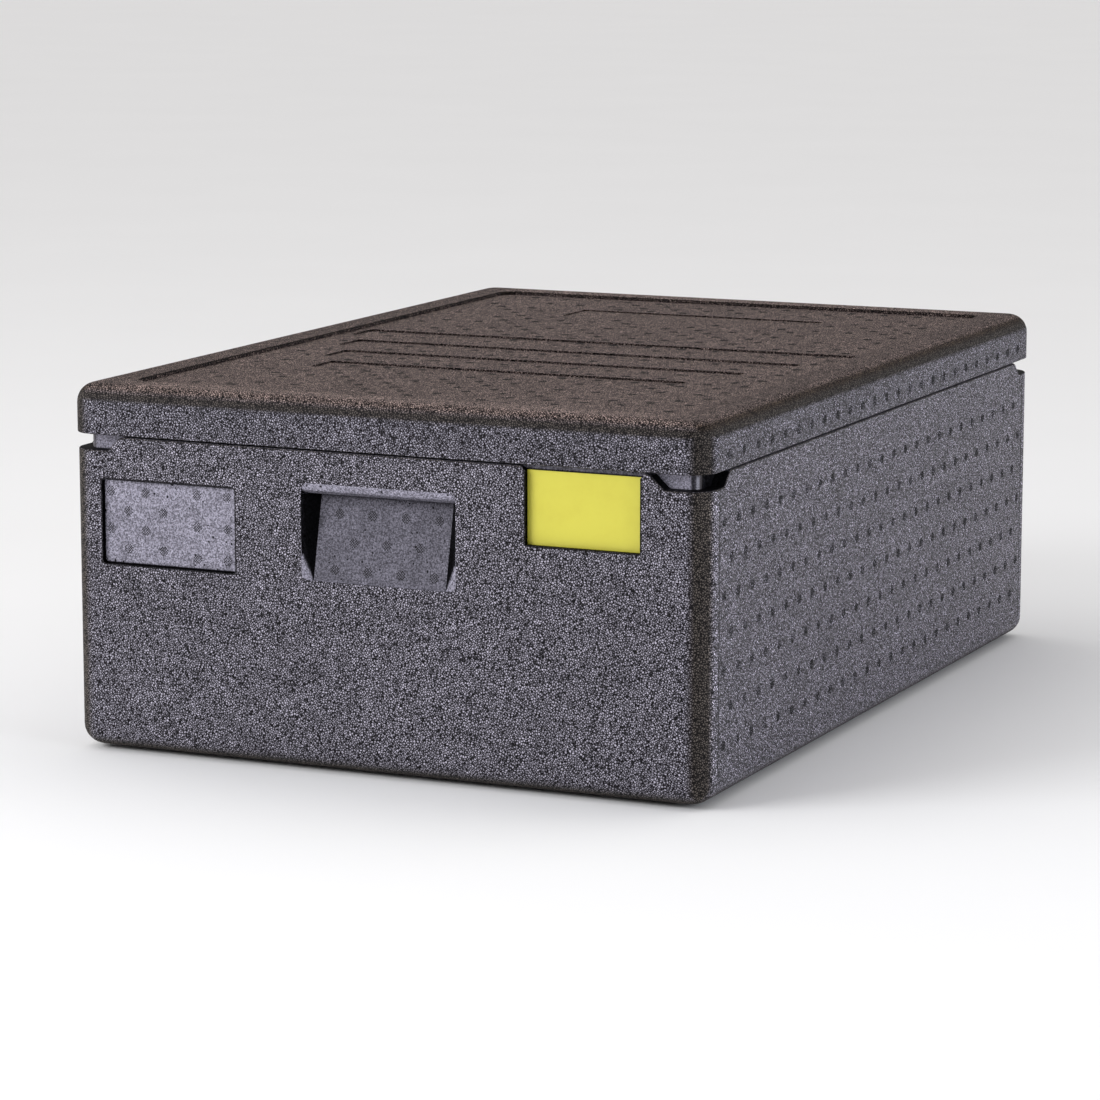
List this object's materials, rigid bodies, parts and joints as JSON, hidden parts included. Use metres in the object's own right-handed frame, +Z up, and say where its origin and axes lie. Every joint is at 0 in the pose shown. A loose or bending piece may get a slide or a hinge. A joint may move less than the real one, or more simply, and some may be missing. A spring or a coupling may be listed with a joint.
{
  "type": "insulated food carrier",
  "caption": "Top-loading insulated carrier in black bead foam: open box, lift-off lid, recessed hand grips, finger notches under the lid and slide-in label cards.",
  "frame": {"origin": "middle of the underside, on the surface that the carrier stands on", "axes": "+Z up, -Y out of the front end that has the yellow card, +X to the right seen from that end"},
  "size_m": [0.4866, 0.6866, 0.2625],
  "materials": {
    "foam_box": "charcoal expanded bead foam with a leathery moulded bead pattern",
    "foam_lid": "charcoal expanded bead foam with a leathery moulded bead pattern",
    "label_card": "yellow plastic card, satin"
  },
  "bodies": {
    "box": {"base_box": "foam_box"},
    "lid": {"lid": "foam_lid"},
    "front_card": {"front_label_card": "label_card"},
    "rear_card": {"rear_label_card": "label_card"}
  },
  "joints": [
    {"name": "lid_lift", "type": "slide", "parent": "box", "child": "lid", "axis": [0, 0, 1], "range_m": [0, 0.26]},
    {"name": "front_card_slide", "type": "slide", "parent": "box", "child": "front_card", "axis": [0, 0, 1], "range_m": [0, 0.0035]},
    {"name": "rear_card_slide", "type": "slide", "parent": "box", "child": "rear_card", "axis": [0, 0, 1], "range_m": [0, 0.0035]}
  ]
}
